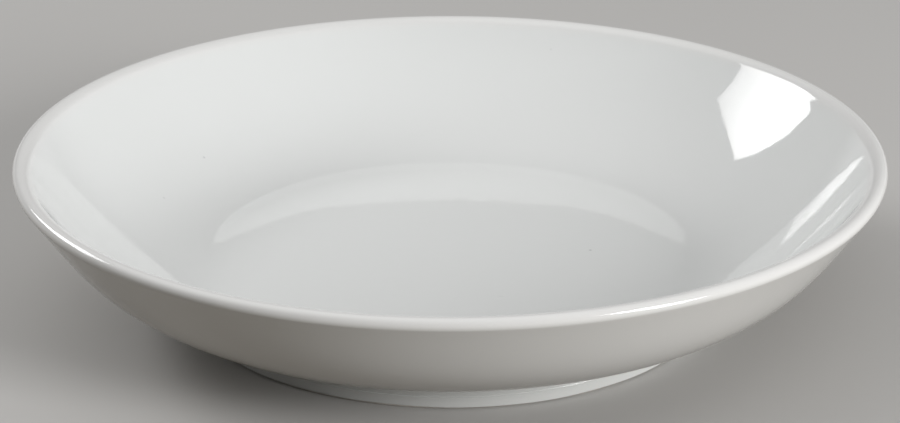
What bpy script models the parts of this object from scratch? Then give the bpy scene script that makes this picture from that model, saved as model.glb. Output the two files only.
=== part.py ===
"""Coupe soup bowl in white porcelain: a fired body and foot ring under three fields of glaze.

Metres, +Z up. The origin is on the table, at the centre of the foot ring.
Each piece is a section drawn at +X in the XZ plane and turned about Z.
The section of the finished bowl is a skin: points that each know which way the air lies.
Glaze, body and foot are the same skin moved in by their depth below the finished surface.
"""

from math import asin, cos, pi, radians, sin

import bpy
from mathutils import Vector

NAME = "coupe_soup_bowl"

# Rim: the crest of the lip, and how far out the lip reaches
RIM_RADIUS = 0.105
HEIGHT = 0.0404

# Outer wall: a tight round from the crest, then one sweep down to the crease above the foot
OUTER_LIP_RADIUS = 0.00156
OUTER_LIP_SLOPE = radians(55)
OUTER_LIP_REACH = 0.0193
CREASE_RADIUS = 0.0657
CREASE_HEIGHT = 0.0064
CREASE_SLOPE = radians(18.6)
CREASE_REACH = 0.0282

# Inside: a floor that is dished in the middle, levels out short of the foot, turns up into the wall and ends
# in a soft round up to the crest
FLOOR_HEIGHT = 0.0091
DISH_RADIUS = 0.0482
DISH_SLOPE = radians(2.44)
LEVEL_RADIUS = 0.0592
LEVEL_SLOPE = radians(0.19)
LEVEL_REACH = 0.0076
INNER_LIP_RADIUS = 0.0033
INNER_LIP_SLOPE = radians(55.8)
INNER_LIP_REACH = 0.0318

# Foot ring and the recess inside it
FOOT_OUTER_RADIUS = 0.0643
FOOT_INNER_RADIUS = 0.0602
RECESS_HEIGHT = 0.005
RECESS_FILLET = 0.0016
BEARING_ROUND = 0.0005

# Glaze: its thickness, the clearance kept behind it, and the bare height above the table
GLAZE = 0.0003
GAP = 0.0003
BARE_HEIGHT = 0.0005

# Facets: round the axis and along each part of the section
TURN_STEPS = 64
OUTER_LIP_STEPS = 4
INNER_LIP_STEPS = 3
WALL_STEPS = 7
FILLET_STEPS = 3
DISH_STEPS = 2
MERGE_DISTANCE = 0.00001

# Places that follow from the sizes above
BISCUIT_DEPTH = GLAZE + GAP
CREST_ANGLE = pi / 2
INNER_SEAM_ANGLE = asin(GAP / 2 / (INNER_LIP_RADIUS - GLAZE))
OUTER_SEAM_ANGLE = asin(GAP / 2 / (OUTER_LIP_RADIUS - GLAZE))
INNER_LIP_CENTRE = Vector((RIM_RADIUS - OUTER_LIP_RADIUS, HEIGHT - INNER_LIP_RADIUS))
OUTER_LIP_CENTRE = Vector((RIM_RADIUS - OUTER_LIP_RADIUS, HEIGHT - OUTER_LIP_RADIUS))
CREASE_FILLET = (CREASE_RADIUS - FOOT_OUTER_RADIUS) / (1 - sin(CREASE_SLOPE))
CREASE_CENTRE = Vector((FOOT_OUTER_RADIUS + CREASE_FILLET, CREASE_HEIGHT - CREASE_FILLET * cos(CREASE_SLOPE)))
RECESS_CENTRE = Vector((FOOT_INNER_RADIUS - RECESS_FILLET, RECESS_HEIGHT - RECESS_FILLET))
BODY_BOTTOM = RECESS_HEIGHT + BISCUIT_DEPTH
FOOT_TOP = BODY_BOTTOM - GAP


def heading(angle):
    """The unit direction at an angle from +X towards +Z."""
    return Vector((cos(angle), sin(angle)))


def arc(centre, radius, start, end, steps, hollow=False):
    """Skin round part of a circle, with the air outside it, or at its centre where it is hollow."""
    skin = []
    for step in range(steps + 1):
        outward = heading(start + (end - start) * step / steps)
        skin.append((centre + radius * outward, -outward if hollow else outward))
    return skin


def sweep(start, start_pull, end_pull, end, steps):
    """Skin along a cubic curve drawn by its end points and pulls, with the air on the left of its run."""
    handle_1 = start + start_pull
    handle_2 = end - end_pull
    skin = []
    for step in range(steps + 1):
        t = step / steps
        s = 1 - t
        point = s**3 * start + 3 * s * s * t * handle_1 + 3 * s * t * t * handle_2 + t**3 * end
        run = s * s * (handle_1 - start) + 2 * s * t * (handle_2 - handle_1) + t * t * (end - handle_2)
        skin.append((point, Vector((-run.y, run.x)).normalized()))
    return skin


def at_depth(skin, depth):
    """The skin's points, moved in below the finished surface."""
    return [point - depth * air for point, air in skin]


def inside_skin(crest_angle):
    """The finished inside, from the axis out along the floor and up the wall to the crest."""
    dish_curve = DISH_RADIUS / sin(DISH_SLOPE)
    dish_centre = Vector((0, FLOOR_HEIGHT + dish_curve))
    dish = arc(dish_centre, dish_curve, -pi / 2, -pi / 2 + DISH_SLOPE, DISH_STEPS, hollow=True)
    level_curve = (LEVEL_RADIUS - DISH_RADIUS) / (sin(DISH_SLOPE) - sin(LEVEL_SLOPE))
    level_centre = dish[-1][0] - level_curve * dish[-1][1]
    level = arc(level_centre, level_curve, pi / 2 + DISH_SLOPE, pi / 2 + LEVEL_SLOPE, DISH_STEPS)
    lip = arc(INNER_LIP_CENTRE, INNER_LIP_RADIUS, INNER_LIP_SLOPE + pi / 2, crest_angle, INNER_LIP_STEPS)
    level_pull = LEVEL_REACH * heading(LEVEL_SLOPE)
    lip_pull = INNER_LIP_REACH * heading(INNER_LIP_SLOPE)
    wall = sweep(level[-1][0], level_pull, lip_pull, lip[0][0], WALL_STEPS)
    return dish + level[1:] + wall[1:-1] + lip


def outside_skin(crest_angle):
    """The finished outside, from the crest down the wall to the start of the crease."""
    lip = arc(OUTER_LIP_CENTRE, OUTER_LIP_RADIUS, crest_angle, OUTER_LIP_SLOPE - pi / 2, OUTER_LIP_STEPS)
    lip_pull = -OUTER_LIP_REACH * heading(OUTER_LIP_SLOPE)
    crease_pull = -CREASE_REACH * heading(CREASE_SLOPE)
    crease = Vector((CREASE_RADIUS, CREASE_HEIGHT))
    wall = sweep(lip[-1][0], lip_pull, crease_pull, crease, WALL_STEPS)
    return lip + wall[1:]


def crease_skin(start, end):
    """Part of the hollow fillet that joins the wall to the foot's upright outer face."""
    return arc(CREASE_CENTRE, CREASE_FILLET, start, end, FILLET_STEPS, hollow=True)


def recess_skin(start, end):
    """Part of the hollow fillet that joins the foot's inner face to the underside of the base."""
    return arc(RECESS_CENTRE, RECESS_FILLET, start, end, FILLET_STEPS, hollow=True)


def crease_angle_at(height):
    """Where the biscuit behind the crease passes a height."""
    return pi - asin((height - CREASE_CENTRE.y) / (CREASE_FILLET + BISCUIT_DEPTH))


def recess_angle_at(height):
    """Where the biscuit behind the recess fillet passes a height."""
    return asin((height - RECESS_CENTRE.y) / (RECESS_FILLET + BISCUIT_DEPTH))


def porcelain(name, colour, roughness):
    """A white ceramic finish."""
    material = bpy.data.materials.new(name)
    material.use_nodes = True
    shader = material.node_tree.nodes["Principled BSDF"]
    shader.inputs["Base Color"].default_value = (*colour, 1)
    shader.inputs["Roughness"].default_value = roughness
    shader.inputs["Metallic"].default_value = 0
    return material


def turned(name, section, material, ring=False):
    """A section turned about Z; a ring's section closes on itself, and any other ends on the axis."""
    points = [(point.x, 0, point.y) for point in section]
    edges = [(index, index + 1) for index in range(len(points) - 1)]
    if ring:
        edges.append((len(points) - 1, 0))
    mesh = bpy.data.meshes.new(name)
    mesh.from_pydata(points, edges, [])
    piece = bpy.data.objects.new(name, mesh)
    mesh.materials.append(material)
    turn = piece.modifiers.new("turn", "SCREW")
    turn.axis = "Z"
    turn.angle = 2 * pi
    turn.steps = TURN_STEPS
    turn.render_steps = TURN_STEPS
    turn.use_merge_vertices = True
    turn.merge_threshold = MERGE_DISTANCE
    turn.use_smooth_shade = True
    bowl.objects.link(piece)
    return piece


def make_body():
    """The biscuit shell: inside, lip and outer wall, closed by a flat underside on the foot."""
    inside = at_depth(inside_skin(CREST_ANGLE), BISCUIT_DEPTH)
    outside = at_depth(outside_skin(CREST_ANGLE), BISCUIT_DEPTH)
    crease = at_depth(crease_skin(CREASE_SLOPE + pi / 2, crease_angle_at(BODY_BOTTOM)), BISCUIT_DEPTH)
    section = inside + outside[1:] + crease[1:] + [Vector((0, BODY_BOTTOM))]
    return turned("bowl_body", section, porcelain("body_biscuit", (0.83, 0.81, 0.77), 0.75))


def make_foot():
    """The foot ring: flared to the wall outside and to the base inside, rounded to a flat bearing edge."""
    outer_radius = FOOT_OUTER_RADIUS - BISCUIT_DEPTH
    inner_radius = FOOT_INNER_RADIUS + BISCUIT_DEPTH
    outer_edge = Vector((outer_radius - BEARING_ROUND, BEARING_ROUND))
    inner_edge = Vector((inner_radius + BEARING_ROUND, BEARING_ROUND))
    outer_flare = at_depth(crease_skin(crease_angle_at(FOOT_TOP), pi), BISCUIT_DEPTH)
    outer_round = at_depth(arc(outer_edge, BEARING_ROUND, 0, -pi / 2, FILLET_STEPS), 0)
    inner_round = at_depth(arc(inner_edge, BEARING_ROUND, -pi / 2, -pi, FILLET_STEPS), 0)
    inner_flare = at_depth(recess_skin(0, recess_angle_at(FOOT_TOP)), BISCUIT_DEPTH)
    section = outer_flare + outer_round + inner_round + inner_flare
    return turned("foot_ring", section, porcelain("foot_biscuit", (0.80, 0.77, 0.72), 0.8), ring=True)


def make_inside_glaze():
    """The coat over the inside, from the middle of the floor to just short of the crest."""
    skin = inside_skin(CREST_ANGLE + INNER_SEAM_ANGLE)
    section = at_depth(skin, 0) + at_depth(skin, GLAZE)[::-1]
    return turned("inside_glaze", section, porcelain("inside_gloss", (0.86, 0.87, 0.86), 0.08))


def make_outside_glaze():
    """The coat over the outside, from the crest round the crease and down to the bare edge of the foot."""
    hem = Vector((FOOT_OUTER_RADIUS, BARE_HEIGHT))
    wall = outside_skin(CREST_ANGLE - OUTER_SEAM_ANGLE)
    crease = crease_skin(CREASE_SLOPE + pi / 2, pi)
    skin = wall + crease[1:] + [(hem, heading(0))]
    section = at_depth(skin, 0) + at_depth(skin, GLAZE)[::-1]
    return turned("outside_glaze", section, porcelain("outside_gloss", (0.85, 0.85, 0.83), 0.08), ring=True)


def make_base_glaze():
    """The coat in the recess: up the foot's inner face and across the underside of the base."""
    hem = Vector((FOOT_INNER_RADIUS, BARE_HEIGHT))
    middle = Vector((0, RECESS_HEIGHT))
    skin = [(hem, heading(pi))] + recess_skin(0, pi / 2) + [(middle, heading(-pi / 2))]
    section = at_depth(skin, GLAZE)[::-1] + at_depth(skin, 0)
    return turned("base_glaze", section, porcelain("base_gloss", (0.84, 0.84, 0.82), 0.1))


for item in list(bpy.data.objects):
    bpy.data.objects.remove(item, do_unlink=True)

bowl = bpy.data.collections.new(NAME)
bpy.context.scene.collection.children.link(bowl)

make_body()
make_foot()
make_inside_glaze()
make_outside_glaze()
make_base_glaze()
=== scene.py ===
from math import atan2, cos, pi, radians, sin

import bpy
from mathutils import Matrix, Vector


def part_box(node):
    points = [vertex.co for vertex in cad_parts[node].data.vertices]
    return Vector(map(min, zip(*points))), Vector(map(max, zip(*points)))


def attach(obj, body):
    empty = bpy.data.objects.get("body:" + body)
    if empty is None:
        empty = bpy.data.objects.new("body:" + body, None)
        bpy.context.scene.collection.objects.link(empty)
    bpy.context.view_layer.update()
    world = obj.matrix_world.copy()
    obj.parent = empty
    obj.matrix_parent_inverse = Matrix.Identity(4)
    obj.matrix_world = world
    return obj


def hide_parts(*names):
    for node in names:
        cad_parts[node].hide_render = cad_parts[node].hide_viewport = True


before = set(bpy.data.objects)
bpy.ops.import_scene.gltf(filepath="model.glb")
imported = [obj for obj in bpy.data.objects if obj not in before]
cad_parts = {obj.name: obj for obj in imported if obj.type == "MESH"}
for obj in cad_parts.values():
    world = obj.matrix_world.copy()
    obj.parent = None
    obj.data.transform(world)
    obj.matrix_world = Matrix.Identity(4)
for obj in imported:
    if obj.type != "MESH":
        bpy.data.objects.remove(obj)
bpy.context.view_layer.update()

# Bowl body: the fired porcelain shell under the glaze, jiggered in one piece on a spinning mould.
# It is dry, white and finely grained, and the glaze covers all of it, so its own shape is kept as it is.
body_pale = (0.84, 0.82, 0.78, 1)
body_deep = (0.78, 0.75, 0.70, 1)
body_grains = 2500


def place(tree, kind, inputs=None, **fields):
    """Adds a shader node, with its fields and its unlinked inputs set."""
    made = tree.nodes.new(kind)
    for field, value in fields.items():
        setattr(made, field, value)
    for socket, value in (inputs or {}).items():
        made.inputs[socket].default_value = value
    return made


def join(source, output, target, socket):
    """Links one node's output to another node's input."""
    source.id_data.links.new(source.outputs[output], target.inputs[socket])


def new_group(name, inputs, outputs):
    """Starts a shader node group, and returns its tree, its inputs and its outputs."""
    tree = bpy.data.node_groups.new(name, "ShaderNodeTree")
    for socket, kind in inputs.items():
        tree.interface.new_socket(socket, in_out="INPUT", socket_type=kind)
    for socket, kind in outputs.items():
        tree.interface.new_socket(socket, in_out="OUTPUT", socket_type=kind)
    return tree, tree.nodes.new("NodeGroupInput"), tree.nodes.new("NodeGroupOutput")


def new_finish(name):
    """Starts a material, and returns it with its node tree and its shader."""
    material = bpy.data.materials.new(name)
    material.use_nodes = True
    return material, material.node_tree, material.node_tree.nodes["Principled BSDF"]


# Unglazed porcelain: a fine sandy grain, and a tone that clouds a little
biscuit_grain, given, made = new_group(
    "biscuit_grain",
    {"Pale": "NodeSocketColor", "Deep": "NodeSocketColor", "Grains per Metre": "NodeSocketFloat"},
    {"Colour": "NodeSocketColor", "Grain": "NodeSocketFloat"},
)
spot = place(biscuit_grain, "ShaderNodeTexCoord")
grain = place(biscuit_grain, "ShaderNodeTexNoise", {"Detail": 3, "Roughness": 0.7})
cloud = place(biscuit_grain, "ShaderNodeTexNoise", {"Scale": 55, "Detail": 4})
tone = place(biscuit_grain, "ShaderNodeMix", data_type="RGBA")
join(spot, "Object", grain, "Vector")
join(spot, "Object", cloud, "Vector")
join(given, "Grains per Metre", grain, "Scale")
join(cloud, "Fac", tone, "Factor")
join(given, "Pale", tone, "A")
join(given, "Deep", tone, "B")
join(tone, "Result", made, "Colour")
join(grain, "Fac", made, "Grain")

body_biscuit, tree, shader = new_finish("body_biscuit")
shader.inputs["Roughness"].default_value = 0.75
grain = place(tree, "ShaderNodeGroup", node_tree=biscuit_grain)
grain.inputs["Pale"].default_value = body_pale
grain.inputs["Deep"].default_value = body_deep
grain.inputs["Grains per Metre"].default_value = body_grains
relief = place(tree, "ShaderNodeBump", {"Strength": 0.3, "Distance": 0.0001})
join(grain, "Colour", shader, "Base Color")
join(grain, "Grain", relief, "Height")
join(relief, "Normal", shader, "Normal")
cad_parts["bowl_body"].material_slots[0].material = body_biscuit

# Foot ring: the porcelain ring that the bowl stands on, luted under the body and turned true before firing.
# Glaze covers its sides, but its lower edge is wiped bare and ground flat, so that it neither sticks in the
# kiln nor scratches the table.
foot_outer_radius = 0.0643
foot_inner_radius = 0.0602
foot_depth = 0.00035
foot_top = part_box("foot_ring")[1].z
bearing_round = 0.0006
foot_pale = (0.80, 0.77, 0.72, 1)
foot_deep = (0.70, 0.66, 0.60, 1)
foot_grains = 3000
grinding_rings = 900
round_steps = 10
turn_steps = 240
seed_size = 0.001
merge_distance = 0.000002
crisp_edge = radians(35)


def heading(angle):
    """The unit direction at an angle from +X towards +Z."""
    return Vector((cos(angle), sin(angle)))


def arc(centre, radius, start, end, steps, hollow=False):
    """Surface points round part of a circle, with the way to the air: outwards, or inwards if hollow."""
    points = []
    for step in range(steps + 1):
        outward = heading(start + (end - start) * step / steps)
        points.append((centre + radius * outward, -outward if hollow else outward))
    return points


def at_depth(surface, depth):
    """The surface's points, moved in below the air."""
    return [point - depth * air for point, air in surface]


def turned(name, section):
    """Draws a section at +X point by point, and spins it round the bowl's axis."""
    bpy.ops.object.select_all(action="DESELECT")
    bpy.ops.mesh.primitive_plane_add(size=seed_size)
    piece = bpy.context.object
    piece.name = name
    piece.data.name = name
    bpy.ops.object.mode_set(mode="EDIT")
    bpy.ops.mesh.select_all(action="SELECT")
    bpy.ops.mesh.merge(type="CENTER")
    bpy.ops.transform.translate(value=(section[0].x, 0, section[0].y))
    for here, there in zip(section, section[1:]):
        step = there - here
        bpy.ops.mesh.extrude_region_move(TRANSFORM_OT_translate={"value": (step.x, 0, step.y)})
    bpy.ops.mesh.select_all(action="SELECT")
    bpy.ops.mesh.spin(steps=turn_steps, angle=2 * pi, center=(0, 0, 0), axis=(0, 0, 1))
    bpy.ops.mesh.select_all(action="SELECT")
    bpy.ops.mesh.remove_doubles(threshold=merge_distance)
    bpy.ops.mesh.normals_make_consistent(inside=False)
    bpy.ops.object.mode_set(mode="OBJECT")
    bpy.ops.object.shade_smooth_by_angle(angle=crisp_edge)
    return piece


outer_edge = Vector((foot_outer_radius - foot_depth - bearing_round, bearing_round))
inner_edge = Vector((foot_inner_radius + foot_depth + bearing_round, bearing_round))
outer_top = Vector((foot_outer_radius - foot_depth, foot_top))
inner_top = Vector((foot_inner_radius + foot_depth, foot_top))
outer_round = at_depth(arc(outer_edge, bearing_round, 0, -pi / 2, round_steps), 0)
inner_round = at_depth(arc(inner_edge, bearing_round, -pi / 2, -pi, round_steps), 0)
foot_ring = turned("foot_ring_turned", [outer_top, *outer_round, *inner_round, inner_top, outer_top])

# Bare bearing edge: the same biscuit, a little soiled by use and polished in rings where it was ground
foot_biscuit, tree, shader = new_finish("foot_biscuit")
grain = place(tree, "ShaderNodeGroup", node_tree=biscuit_grain)
grain.inputs["Pale"].default_value = foot_pale
grain.inputs["Deep"].default_value = foot_deep
grain.inputs["Grains per Metre"].default_value = foot_grains
relief = place(tree, "ShaderNodeBump", {"Strength": 0.4, "Distance": 0.0001})
spot = place(tree, "ShaderNodeTexCoord")
grinding = place(tree, "ShaderNodeTexWave", wave_type="RINGS", rings_direction="Z")
grinding.inputs["Scale"].default_value = grinding_rings
grinding.inputs["Distortion"].default_value = 3
grinding.inputs["Detail"].default_value = 3
polish = place(tree, "ShaderNodeMapRange", {"To Min": 0.45, "To Max": 0.8})
join(spot, "Object", grinding, "Vector")
join(grinding, "Fac", polish, "Value")
join(polish, "Result", shader, "Roughness")
join(grain, "Colour", shader, "Base Color")
join(grain, "Grain", relief, "Height")
join(relief, "Normal", shader, "Normal")
foot_ring.data.materials.append(foot_biscuit)
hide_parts("foot_ring")
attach(foot_ring, "root")

# Inside glaze: a clear white glass that the bowl is dipped in, and that fuses to it in the kiln.
# It runs from the middle of the dished floor, up the wall and over half of the lip. It is smooth and
# glossy, with a faint swell, a few iron specks and one grain of kiln dust caught under it.
crest_radius = 0.10344
height = 0.0404
inner_lip_radius = 0.0033
floor_height = 0.0091
dish_radius = 0.0482
dish_slope = radians(2.44)
level_radius = 0.0592
level_slope = radians(0.19)
level_reach = 0.0076
inner_lip_slope = radians(55.8)
inner_lip_reach = 0.0318
coat_depth = 0.0003
crest = pi / 2
crest_fringe = radians(0.5)
dish_steps = 20
level_steps = 8
wall_steps = 64
inner_lip_steps = 24
back_stride = 3


def sweep(start, start_pull, end_pull, end, steps):
    """Surface points along a cubic curve, with the air on the left of its run."""
    handle_1 = start + start_pull
    handle_2 = end - end_pull
    points = []
    for step in range(steps + 1):
        t = step / steps
        s = 1 - t
        point = s**3 * start + 3 * s * s * t * handle_1 + 3 * s * t * t * handle_2 + t**3 * end
        run = s * s * (handle_1 - start) + 2 * s * t * (handle_2 - handle_1) + t * t * (end - handle_2)
        points.append((point, Vector((-run.y, run.x)).normalized()))
    return points


def coat(surface, ending=()):
    """A section through a coat of glaze: its surface, its ending, and its hidden back in long strides."""
    back = at_depth(surface, coat_depth)
    return at_depth(surface, 0) + at_depth(ending, 0) + back[:0:-back_stride] + back[:1]


dish_curve = dish_radius / sin(dish_slope)
dish_centre = Vector((0, floor_height + dish_curve))
dish = arc(dish_centre, dish_curve, -pi / 2, -pi / 2 + dish_slope, dish_steps, hollow=True)
level_curve = (level_radius - dish_radius) / (sin(dish_slope) - sin(level_slope))
level_centre = dish[-1][0] - level_curve * dish[-1][1]
level = arc(level_centre, level_curve, pi / 2 + dish_slope, pi / 2 + level_slope, level_steps)
crest_point = (Vector((crest_radius, height)), heading(crest))
lip_centre = Vector((crest_radius, height - inner_lip_radius))
lip = arc(lip_centre, inner_lip_radius, inner_lip_slope + pi / 2, crest + crest_fringe, inner_lip_steps)
lip.append(crest_point)
level_pull = level_reach * heading(level_slope)
lip_pull = inner_lip_reach * heading(inner_lip_slope)
wall = sweep(level[-1][0], level_pull, lip_pull, lip[0][0], wall_steps)
inside_glaze = turned("inside_glaze_coat", coat(dish + level[1:] + wall[1:-1] + lip))

# The glaze's tone: a white that drifts a little, and warms where the coat thins over the lip
glaze_thin = (0.83, 0.825, 0.81, 1)
glaze_tone, given, made = new_group(
    "glaze_tone",
    {"White": "NodeSocketColor", "Drift": "NodeSocketColor", "Thin": "NodeSocketColor"},
    {"Colour": "NodeSocketColor"},
)
spot = place(glaze_tone, "ShaderNodeTexCoord")
drift = place(glaze_tone, "ShaderNodeTexNoise", {"Scale": 18, "Detail": 3})
white = place(glaze_tone, "ShaderNodeMix", data_type="RGBA")
rise = place(glaze_tone, "ShaderNodeSeparateXYZ")
thinning = place(glaze_tone, "ShaderNodeMapRange", interpolation_type="SMOOTHSTEP")
thinning.inputs["From Min"].default_value = height - inner_lip_radius
thinning.inputs["From Max"].default_value = height
tone = place(glaze_tone, "ShaderNodeMix", data_type="RGBA")
join(spot, "Object", drift, "Vector")
join(spot, "Object", rise, "Vector")
join(drift, "Fac", white, "Factor")
join(given, "White", white, "A")
join(given, "Drift", white, "B")
join(rise, "Z", thinning, "Value")
join(thinning, "Result", tone, "Factor")
join(white, "Result", tone, "A")
join(given, "Thin", tone, "B")
join(tone, "Result", made, "Colour")

# The glaze's skin: a broad swell and a finer orange peel in millimetres, and a gloss that hazes a little
glaze_swell = 0.02
glaze_peel = 0.012
glaze_gloss = 0.03
glaze_haze = 0.07
glaze_skin, given, made = new_group(
    "glaze_skin",
    {
        "Swell": "NodeSocketFloat",
        "Peel": "NodeSocketFloat",
        "Gloss": "NodeSocketFloat",
        "Haze": "NodeSocketFloat",
    },
    {"Height": "NodeSocketFloat", "Roughness": "NodeSocketFloat"},
)
spot = place(glaze_skin, "ShaderNodeTexCoord")
swell = place(glaze_skin, "ShaderNodeTexNoise", {"Scale": 35, "Detail": 1})
peel = place(glaze_skin, "ShaderNodeTexNoise", {"Scale": 280, "Detail": 1})
haze = place(glaze_skin, "ShaderNodeTexNoise", {"Scale": 140, "Detail": 5})
swell_rise = place(glaze_skin, "ShaderNodeMath", operation="MULTIPLY")
rises = place(glaze_skin, "ShaderNodeMath", operation="MULTIPLY_ADD")
sheen = place(glaze_skin, "ShaderNodeMapRange", {"From Min": 0.3, "From Max": 0.7})
join(spot, "Object", swell, "Vector")
join(spot, "Object", peel, "Vector")
join(spot, "Object", haze, "Vector")
join(swell, "Fac", swell_rise, 0)
join(given, "Swell", swell_rise, 1)
join(peel, "Fac", rises, 0)
join(given, "Peel", rises, 1)
join(swell_rise, "Value", rises, 2)
join(haze, "Fac", sheen, "Value")
join(given, "Gloss", sheen, "To Min")
join(given, "Haze", sheen, "To Max")
join(rises, "Value", made, "Height")
join(sheen, "Result", made, "Roughness")

# Iron specks scattered through the glaze, only a few on each coat
fine_specks = 70
fine_speck_radius = 0.0002
fine_speck_brown = (0.35, 0.31, 0.27, 1)
kiln_specks, given, made = new_group(
    "kiln_specks",
    {"Specks per Metre": "NodeSocketFloat", "Radius": "NodeSocketFloat"},
    {"Mask": "NodeSocketFloat"},
)
spot = place(kiln_specks, "ShaderNodeTexCoord")
scatter = place(kiln_specks, "ShaderNodeTexVoronoi")
reach = place(kiln_specks, "ShaderNodeMath", operation="DIVIDE")
speck = place(kiln_specks, "ShaderNodeMapRange", {"From Min": 0, "To Min": 1, "To Max": 0})
join(spot, "Object", scatter, "Vector")
join(given, "Specks per Metre", scatter, "Scale")
join(scatter, "Distance", reach, 0)
join(given, "Specks per Metre", reach, 1)
join(reach, "Value", speck, "Value")
join(given, "Radius", speck, "From Max")
join(speck, "Result", made, "Mask")


def glaze_finish(name, white, drift):
    """A glaze: its tone with fine specks in it, and its glossy skin."""
    material, tree, shader = new_finish(name)
    shader.inputs["IOR"].default_value = 1.52
    tone = place(tree, "ShaderNodeGroup", node_tree=glaze_tone)
    tone.inputs["White"].default_value = white
    tone.inputs["Drift"].default_value = drift
    tone.inputs["Thin"].default_value = glaze_thin
    specks = place(tree, "ShaderNodeGroup", node_tree=kiln_specks)
    specks.inputs["Specks per Metre"].default_value = fine_specks
    specks.inputs["Radius"].default_value = fine_speck_radius
    colour = place(tree, "ShaderNodeMix", data_type="RGBA", name="colour")
    colour.inputs["B"].default_value = fine_speck_brown
    skin = place(tree, "ShaderNodeGroup", node_tree=glaze_skin, name="skin")
    skin.inputs["Swell"].default_value = glaze_swell
    skin.inputs["Peel"].default_value = glaze_peel
    skin.inputs["Gloss"].default_value = glaze_gloss
    skin.inputs["Haze"].default_value = glaze_haze
    relief = place(tree, "ShaderNodeBump", {"Strength": 1, "Distance": 0.001}, name="relief")
    join(tone, "Colour", colour, "A")
    join(specks, "Mask", colour, "Factor")
    join(colour, "Result", shader, "Base Color")
    join(skin, "Roughness", shader, "Roughness")
    join(skin, "Height", relief, "Height")
    join(relief, "Normal", shader, "Normal")
    return material


inside_white = (0.836, 0.847, 0.838, 1)
inside_drift = (0.816, 0.827, 0.815, 1)
inside_gloss = glaze_finish("inside_gloss", inside_white, inside_drift)
tree = inside_gloss.node_tree

# The specks that stand out, three on the wall and one on the floor: where each is, and how dark it shows
iron_specks = [
    ((-0.0655, 0.0483, 0.0181), 0.5),
    ((-0.0736, 0.0250, 0.0157), 0.3),
    ((0.0284, 0.0928, 0.0339), 0.18),
    ((0.0351, 0.0048, 0.0097), 0.75),
]
iron_speck_radius = 0.0005
iron_speck_grey = (0.38, 0.40, 0.41, 1)
spot = place(tree, "ShaderNodeTexCoord")
colour = tree.nodes["colour"]
for speck_spot, darkness in iron_specks:
    reach = place(tree, "ShaderNodeVectorMath", {1: speck_spot}, operation="DISTANCE")
    speck = place(tree, "ShaderNodeMapRange", {"To Min": darkness, "To Max": 0})
    speck.inputs["From Max"].default_value = iron_speck_radius
    speckled = place(tree, "ShaderNodeMix", data_type="RGBA")
    speckled.inputs["B"].default_value = iron_speck_grey
    join(spot, "Object", reach, 0)
    join(reach, "Value", speck, "Value")
    join(speck, "Result", speckled, "Factor")
    join(colour, "Result", speckled, "A")
    colour = speckled
join(colour, "Result", tree.nodes["Principled BSDF"], "Base Color")

# The grain of kiln dust: a bump that the glaze has flowed over, near the front of the floor
dust_grain = (0.0121, -0.0236, 0.0094)
dust_grain_radius = 0.0011
dust_grain_height = 0.03
reach = place(tree, "ShaderNodeVectorMath", {1: dust_grain}, operation="DISTANCE")
dust = place(tree, "ShaderNodeMapRange", interpolation_type="SMOOTHSTEP")
dust.inputs["From Max"].default_value = dust_grain_radius
dust.inputs["To Min"].default_value = dust_grain_height
dust.inputs["To Max"].default_value = 0
rises = place(tree, "ShaderNodeMath", operation="ADD")
join(spot, "Object", reach, 0)
join(reach, "Value", dust, "Value")
join(dust, "Result", rises, 0)
join(tree.nodes["skin"], "Height", rises, 1)
join(rises, "Value", tree.nodes["relief"], "Height")
inside_glaze.data.materials.append(inside_gloss)
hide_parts("inside_glaze")
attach(inside_glaze, "root")

# Outside glaze: the same glass on the outside, dipped over the lip and down the wall.
# It pools in the crease above the foot, where it is also painted darker as shade, runs over a fine turned
# groove on the foot's outer face and ends in a rolled edge that wanders a little, just above the bare ring.
outer_lip_radius = 0.00156
outer_lip_slope = radians(55)
outer_lip_reach = 0.0193
crease_radius = 0.0657
crease_height = 0.0064
crease_slope = radians(18.6)
crease_reach = 0.0282
groove_height = 0.0032
groove_radius = 0.0002
bare_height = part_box("outside_glaze")[0].z
hem_round = coat_depth / 2
hem_wander = 0.00012
hem_waves = [(3, 1, 1), (7, 2, 0.6), (17, 0, 0.4)]
hem_fade = 0.0012
# Top of the pooled tone and the painted shade of the crease
pool_shade_top = 0.0091
outer_lip_steps = 30
crease_steps = 16

lip_centre = Vector((crest_radius, height - outer_lip_radius))
lip = [crest_point]
lip += arc(lip_centre, outer_lip_radius, crest - crest_fringe, outer_lip_slope - pi / 2, outer_lip_steps)
crease_start = Vector((crease_radius, crease_height))
lip_pull = -outer_lip_reach * heading(outer_lip_slope)
crease_pull = -crease_reach * heading(crease_slope)
wall = sweep(lip[-1][0], lip_pull, crease_pull, crease_start, wall_steps)
crease_fillet = (crease_radius - foot_outer_radius) / (1 - sin(crease_slope))
crease_centre = crease_start + crease_fillet * heading(crease_slope - pi / 2)
crease = arc(crease_centre, crease_fillet, crease_slope + pi / 2, pi, crease_steps, hollow=True)
groove_centre = Vector((foot_outer_radius, groove_height))
groove = arc(groove_centre, groove_radius, pi / 2, 3 * pi / 2, round_steps, hollow=True)
hem_centre = Vector((foot_outer_radius - hem_round, bare_height + hem_round))
hem = arc(hem_centre, hem_round, 0, -pi, round_steps)
section = coat(lip + wall[1:] + crease[1:], groove + hem)
outside_glaze = turned("outside_glaze_coat", section + section[:1])


def wander_hem(piece):
    """Lets the rolled edge of a coat rise and fall a little on its way round the foot."""
    for vertex in piece.data.vertices:
        turn = atan2(vertex.co.y, vertex.co.x)
        wave = sum(share * sin(count * turn + phase) for count, phase, share in hem_waves)
        nearness = max(0, 1 - (vertex.co.z - bare_height) / hem_fade)
        vertex.co.z += hem_wander * nearness * wave


wander_hem(outside_glaze)

outside_white = (0.84, 0.84, 0.825, 1)
outside_drift = (0.82, 0.815, 0.795, 1)
outside_gloss = glaze_finish("outside_gloss", outside_white, outside_drift)
tree = outside_gloss.node_tree
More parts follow.
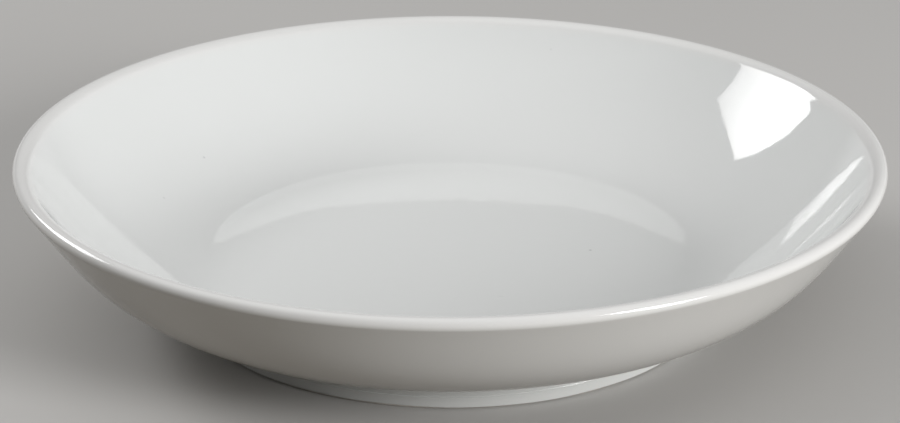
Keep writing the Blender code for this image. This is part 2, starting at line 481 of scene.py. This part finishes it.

# From the crease down the glaze is painted darker and greener: its own pooled tone and painted crease shade
pool_shade_grey = (0.70, 0.71, 0.695, 1)
spot = place(tree, "ShaderNodeTexCoord")
rise = place(tree, "ShaderNodeSeparateXYZ")
pool_shade = place(tree, "ShaderNodeMapRange", {"To Min": 1, "To Max": 0}, interpolation_type="SMOOTHSTEP")
pool_shade.inputs["From Min"].default_value = crease_height
pool_shade.inputs["From Max"].default_value = pool_shade_top
pool_shaded = place(tree, "ShaderNodeMix", data_type="RGBA")
pool_shaded.inputs["B"].default_value = pool_shade_grey
join(spot, "Object", rise, "Vector")
join(rise, "Z", pool_shade, "Value")
join(pool_shade, "Result", pool_shaded, "Factor")
join(tree.nodes["colour"], "Result", pool_shaded, "A")
join(pool_shaded, "Result", tree.nodes["Principled BSDF"], "Base Color")
outside_glaze.data.materials.append(outside_gloss)
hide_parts("outside_glaze")
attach(outside_glaze, "root")

# Base glaze: the coat in the shallow recess under the bowl, inside the foot ring.
# It covers the foot's inner face and the flat underside of the base, which is bare of any mark.
recess_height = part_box("base_glaze")[1].z - coat_depth
recess_fillet = 0.0016
fillet_steps = 12
underside_rings = 12

fillet_centre = Vector((foot_inner_radius - recess_fillet, recess_height - recess_fillet))
fillet = arc(fillet_centre, recess_fillet, pi / 2, 0, fillet_steps, hollow=True)
middle = Vector((0, recess_height))
underside = []
for ring in range(underside_rings + 1):
    point = middle.lerp(fillet[0][0], ring / underside_rings)
    underside.append((point, heading(-pi / 2)))
hem_centre = Vector((foot_inner_radius + hem_round, bare_height + hem_round))
hem = arc(hem_centre, hem_round, pi, 2 * pi, round_steps)
base_glaze = turned("base_glaze_coat", coat(underside + fillet[1:], hem))
wander_hem(base_glaze)

base_white = (0.83, 0.83, 0.81, 1)
base_drift = (0.80, 0.80, 0.775, 1)
base_gloss = glaze_finish("base_gloss", base_white, base_drift)
base_glaze.data.materials.append(base_gloss)
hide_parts("base_glaze")
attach(base_glaze, "root")

# Studio: a plain pale table in a dim room, with a tall soft box low in front on the right and a nearly
# square one behind on the left. The room glows from the left, from above and low behind on the right, and
# faintly from behind and low in front. The table fades into a pale horizon.
table_radius = 6
table_sides = 96
table_pale = (0.55, 0.54, 0.525, 1)
table_bounce = (0.17, 0.15, 0.12, 1)
horizon_pale = 0.6
horizon_low = sin(radians(5))
horizon_high = sin(radians(12))
fade_start = 0.3
fade_end = 1

bpy.ops.object.select_all(action="DESELECT")
bpy.ops.mesh.primitive_circle_add(vertices=table_sides, radius=table_radius, fill_type="NGON")
table = bpy.context.object
table.name = "table"


def seen_or_mirrored(tree):
    """A node that is 1 for what the camera sees, straight or in a gloss or glass, and 0 for plain light."""
    path = place(tree, "ShaderNodeLightPath")
    mirrored = place(tree, "ShaderNodeMath", operation="MAXIMUM")
    seen = place(tree, "ShaderNodeMath", operation="MAXIMUM")
    join(path, "Is Glossy Ray", mirrored, 0)
    join(path, "Is Transmission Ray", mirrored, 1)
    join(path, "Is Camera Ray", seen, 0)
    join(mirrored, "Value", seen, 1)
    return seen


# The table shows pale, but throws little light up under the bowl, and far from it fades into the horizon
table_white, tree, shader = new_finish("table_white")
table_white.cycles.emission_sampling = "NONE"
shader.inputs["Roughness"].default_value = 0.9
shader.inputs["Specular IOR Level"].default_value = 0.2
tone = place(tree, "ShaderNodeMix", data_type="RGBA")
tone.inputs["A"].default_value = table_bounce
tone.inputs["B"].default_value = table_pale
seen = seen_or_mirrored(tree)
spot = place(tree, "ShaderNodeTexCoord")
reach = place(tree, "ShaderNodeVectorMath", operation="LENGTH")
fade = place(tree, "ShaderNodeMapRange", interpolation_type="SMOOTHSTEP")
fade.inputs["From Min"].default_value = fade_start
fade.inputs["From Max"].default_value = fade_end
faded = place(tree, "ShaderNodeMath", operation="MULTIPLY")
far = place(tree, "ShaderNodeEmission", {"Strength": horizon_pale})
surface = place(tree, "ShaderNodeMixShader")
join(seen, "Value", tone, "Factor")
join(tone, "Result", shader, "Base Color")
join(spot, "Object", reach, 0)
join(reach, "Value", fade, "Value")
join(fade, "Result", faded, 0)
join(seen, "Value", faded, 1)
join(faded, "Value", surface, "Fac")
join(shader, "BSDF", surface, 1)
join(far, "Emission", surface, 2)
join(surface, "Shader", tree.nodes["Material Output"], "Surface")
table.data.materials.append(table_white)

# The room: a horizon that only shows, and glows that also light. Each glow has its turn and rise in
# degrees, its tightness and its strength.
room_glows = [
    (160, 45, 4, 0.7),
    (0, 90, 4, 0.53),
    (90, 24, 5, 0.18),
    (45, 10, 12, 0.5),
    (262, 6, 10, 0.3),
]
world = bpy.data.worlds.new("studio")
bpy.context.scene.world = world
world.use_nodes = True
tree = world.node_tree
spot = place(tree, "ShaderNodeTexCoord")
rise = place(tree, "ShaderNodeSeparateXYZ")
horizon = place(tree, "ShaderNodeMapRange", {"To Min": horizon_pale, "To Max": 0})
horizon.inputs["From Min"].default_value = horizon_low
horizon.inputs["From Max"].default_value = horizon_high
shown = place(tree, "ShaderNodeMath", operation="MULTIPLY")
brightest = place(tree, "ShaderNodeMath", operation="MAXIMUM")
sky = tree.nodes["Background"]
sky.inputs["Color"].default_value = (1, 1, 1, 1)
join(spot, "Generated", rise, "Vector")
join(rise, "Z", horizon, "Value")
join(horizon, "Result", shown, 0)
join(seen_or_mirrored(tree), "Value", shown, 1)
join(shown, "Value", brightest, 0)
join(brightest, "Value", sky, "Strength")
light = None
for turn, lift, tightness, strength in room_glows:
    level_part = cos(radians(lift))
    aim = (level_part * cos(radians(turn)), level_part * sin(radians(turn)), sin(radians(lift)))
    facing = place(tree, "ShaderNodeVectorMath", {1: aim}, operation="DOT_PRODUCT")
    ahead = place(tree, "ShaderNodeMath", {1: 0}, operation="MAXIMUM")
    glow = place(tree, "ShaderNodeMath", {1: tightness}, operation="POWER")
    added = place(tree, "ShaderNodeMath", {1: strength, 2: 0}, operation="MULTIPLY_ADD")
    join(spot, "Generated", facing, 0)
    join(facing, "Value", ahead, 0)
    join(ahead, "Value", glow, 0)
    join(glow, "Value", added, 0)
    if light:
        join(light, "Value", added, 2)
    light = added
join(light, "Value", brightest, 1)

# The soft boxes: each is brightest at a hot spot, and falls off across its width and length
hot_strength = 1.35
edge_strength = 0.45


def soft_box(name, spot, turn, width, length, watts, hot_spot):
    """Adds a soft box, with its turn in degrees and its hot spot in shares of its width and length."""
    bpy.ops.object.light_add(type="AREA", location=spot)
    box = bpy.context.object
    box.name = name
    box.rotation_euler = [radians(angle) for angle in turn]
    box.data.shape = "RECTANGLE"
    box.data.size = width
    box.data.size_y = length
    box.data.energy = watts
    box.data.use_nodes = True
    tree = box.data.node_tree
    across = place(tree, "ShaderNodeNewGeometry")
    reach = place(tree, "ShaderNodeVectorMath", {1: hot_spot}, operation="DISTANCE")
    falloff = place(tree, "ShaderNodeMapRange", {"To Min": hot_strength, "To Max": edge_strength})
    join(across, "Parametric", reach, 0)
    join(reach, "Value", falloff, "Value")
    join(falloff, "Result", tree.nodes["Emission"], "Strength")


soft_box(
    "key_box",
    spot=(1.08, -0.906, 0.514),
    turn=(68, -28.2, 60.8),
    width=0.42,
    length=0.7,
    watts=18.4,
    hot_spot=(0.5, 0.5, 0),
)
soft_box(
    "back_box",
    spot=(-0.847, 0.522, 0.672),
    turn=(107.8, -9, -124.1),
    width=0.561,
    length=0.513,
    watts=7.4,
    hot_spot=(0.3, 0.35, 0),
)

# The camera looks down at the bowl from the front
camera_spot = (0, -0.5254, 0.2332)
camera_dip = radians(21.9)
camera_lens = 92
camera_data = bpy.data.cameras.new("camera")
camera = bpy.data.objects.new("camera", camera_data)
bpy.context.scene.collection.objects.link(camera)
camera.location = camera_spot
camera.rotation_euler = (pi / 2 - camera_dip, 0, 0)
camera_data.lens = camera_lens
camera_data.sensor_width = 36
bpy.context.scene.camera = camera
bpy.context.scene.view_settings.view_transform = "Standard"
